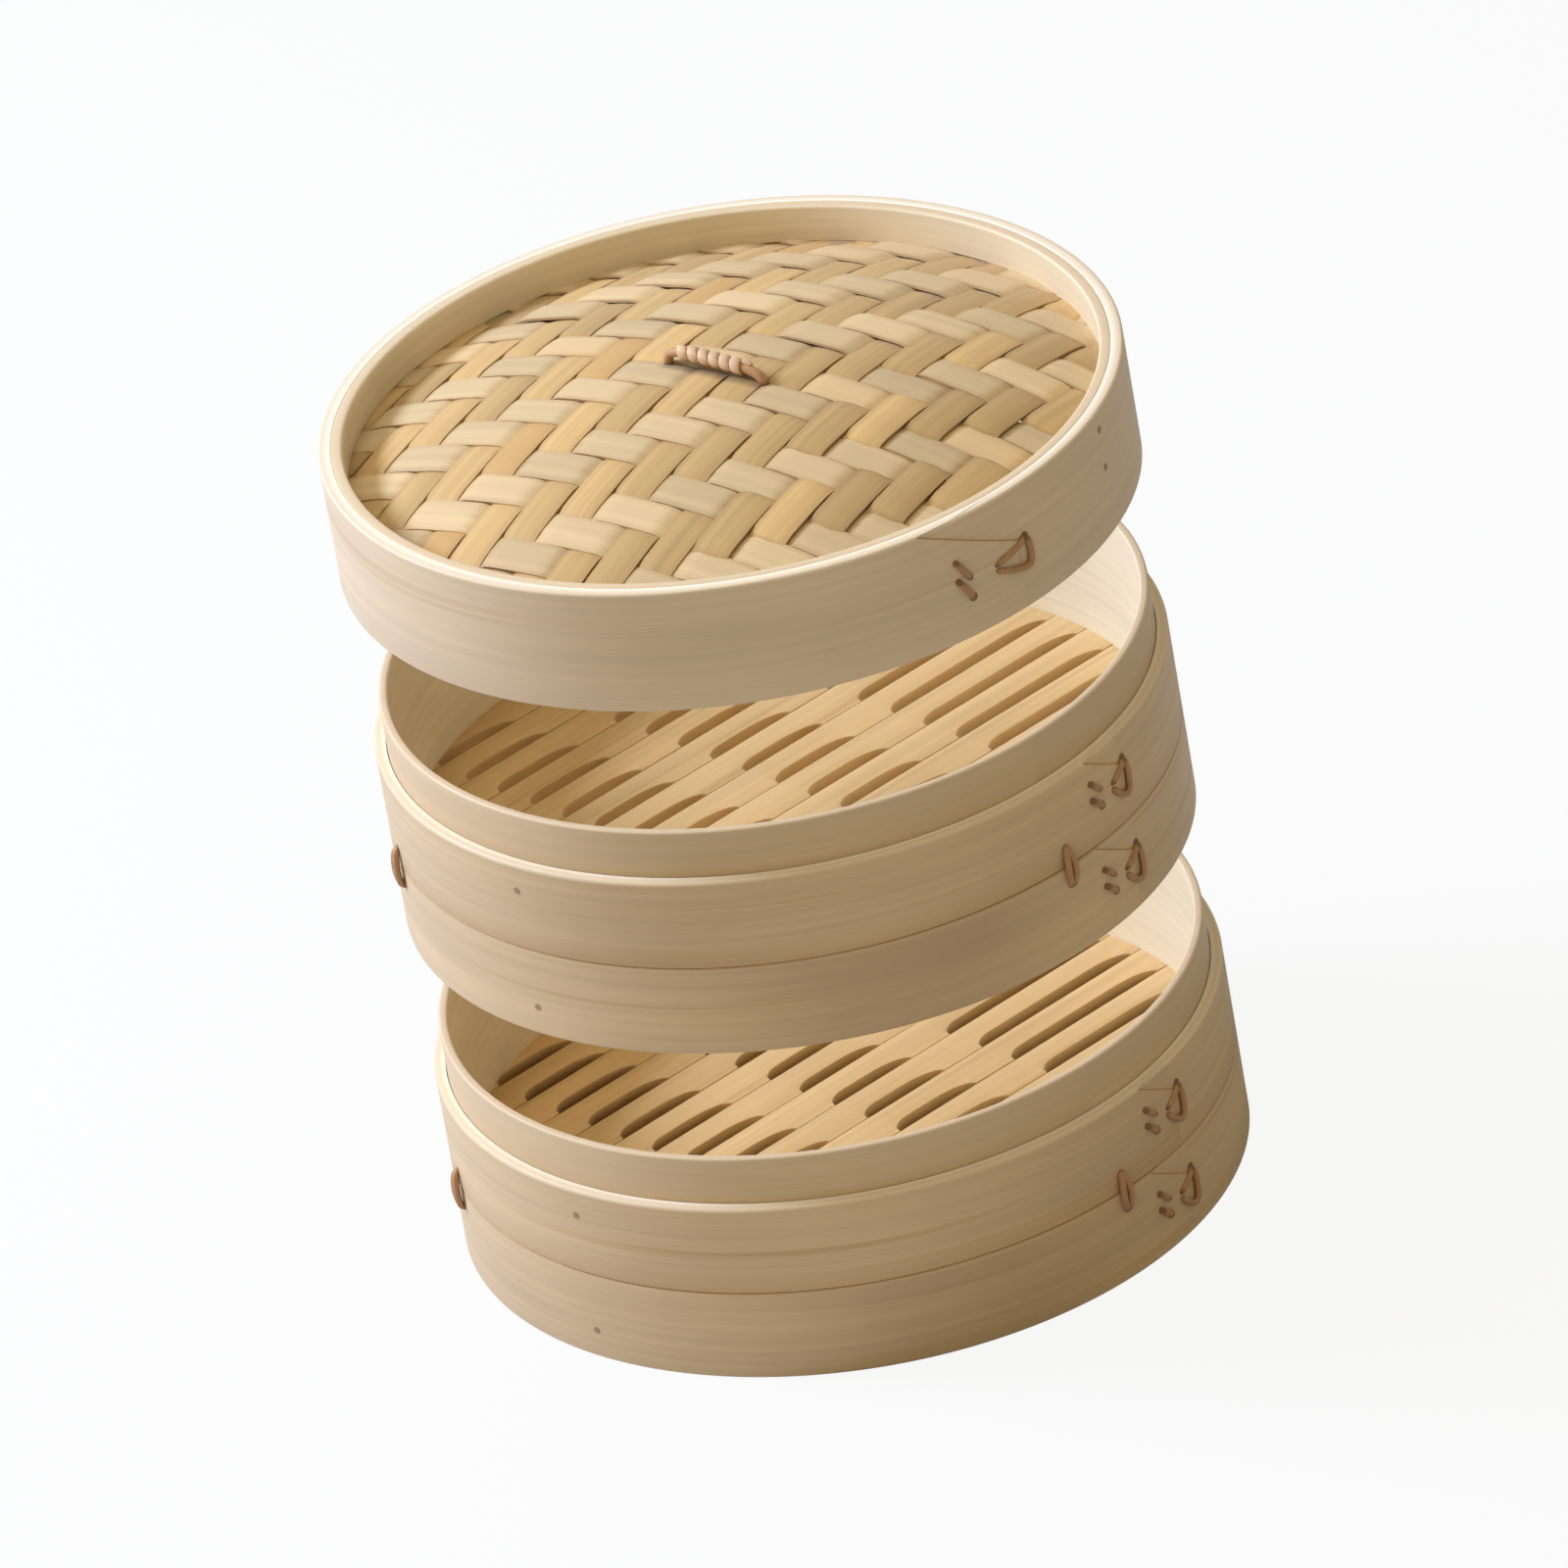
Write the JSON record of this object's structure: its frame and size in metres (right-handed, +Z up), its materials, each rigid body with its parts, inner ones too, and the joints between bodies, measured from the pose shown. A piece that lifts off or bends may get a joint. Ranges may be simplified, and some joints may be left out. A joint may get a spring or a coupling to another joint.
{
  "type": "bamboo steamer basket",
  "caption": "Round stacking bamboo steamer baskets with slatted floors and a domed woven lid, lifted apart; each piece lifts off the one below.",
  "frame": {"origin": "centre of the lower basket's foot, on the plane it stands on", "axes": "+Z up along the stack's axis, X along the floor slats, -Y towards the laps"},
  "size_m": [0.256, 0.2586, 0.3005],
  "materials": {
    "inner_hoop": "satin",
    "outer_band": "satin",
    "lid_hoop": "satin",
    "floor_slat": "matt",
    "hidden_frame": "matt",
    "weave": "satin",
    "cane": "satin",
    "peg": "matt",
    "handle_cane": "satin",
    "handle_binding": "satin"
  },
  "bodies": {
    "lower_basket": {"lower_inner_hoop": "inner_hoop", "lower_top_band": "outer_band", "lower_foot_band": "outer_band", "lower_floor_ring": "hidden_frame", "lower_cross_bars": "hidden_frame", "lower_pegs": "peg", "lower_lap_stitches": "cane", "lower_seam_lashes": "cane", "lower_slat_01": "floor_slat", "lower_slat_02": "floor_slat", "lower_slat_03": "floor_slat", "lower_slat_04": "floor_slat", "lower_slat_05": "floor_slat", "lower_slat_06": "floor_slat", "lower_slat_07": "floor_slat", "lower_slat_08": "floor_slat", "lower_slat_09": "floor_slat", "lower_slat_10": "floor_slat", "lower_slat_11": "floor_slat", "lower_slat_12": "floor_slat", "lower_slat_13": "floor_slat", "lower_slat_14": "floor_slat", "lower_slat_15": "floor_slat", "lower_slat_16": "floor_slat"},
    "upper_basket": {"upper_inner_hoop": "inner_hoop", "upper_top_band": "outer_band", "upper_foot_band": "outer_band", "upper_floor_ring": "hidden_frame", "upper_cross_bars": "hidden_frame", "upper_pegs": "peg", "upper_lap_stitches": "cane", "upper_seam_lashes": "cane", "upper_slat_01": "floor_slat", "upper_slat_02": "floor_slat", "upper_slat_03": "floor_slat", "upper_slat_04": "floor_slat", "upper_slat_05": "floor_slat", "upper_slat_06": "floor_slat", "upper_slat_07": "floor_slat", "upper_slat_08": "floor_slat", "upper_slat_09": "floor_slat", "upper_slat_10": "floor_slat", "upper_slat_11": "floor_slat", "upper_slat_12": "floor_slat", "upper_slat_13": "floor_slat", "upper_slat_14": "floor_slat", "upper_slat_15": "floor_slat", "upper_slat_16": "floor_slat"},
    "lid": {"lid_outer_hoop": "lid_hoop", "lid_rim_hoop": "lid_hoop", "lid_under_hoop": "lid_hoop", "lid_woven_panel": "weave", "lid_ribs": "hidden_frame", "lid_pegs": "peg", "lid_lap_stitches": "cane"},
    "lid_handle": {"handle_cane": "handle_cane", "handle_binding": "handle_binding", "handle_pin": "peg"}
  },
  "joints": [
    {"name": "upper_basket_lift", "type": "slide", "parent": "lower_basket", "child": "upper_basket", "axis": [0, 0, 1], "range_m": [-0.0568, 0]},
    {"name": "lid_lift", "type": "slide", "parent": "upper_basket", "child": "lid", "axis": [0, 0, 1], "range_m": [-0.0623, 0]},
    {"name": "handle_tip", "type": "hinge", "parent": "lid", "child": "lid_handle", "pos_m": [0, 0, 0.2918], "axis": [-0.1736, 0.9848, 0], "range_deg": [-15, 15]}
  ]
}
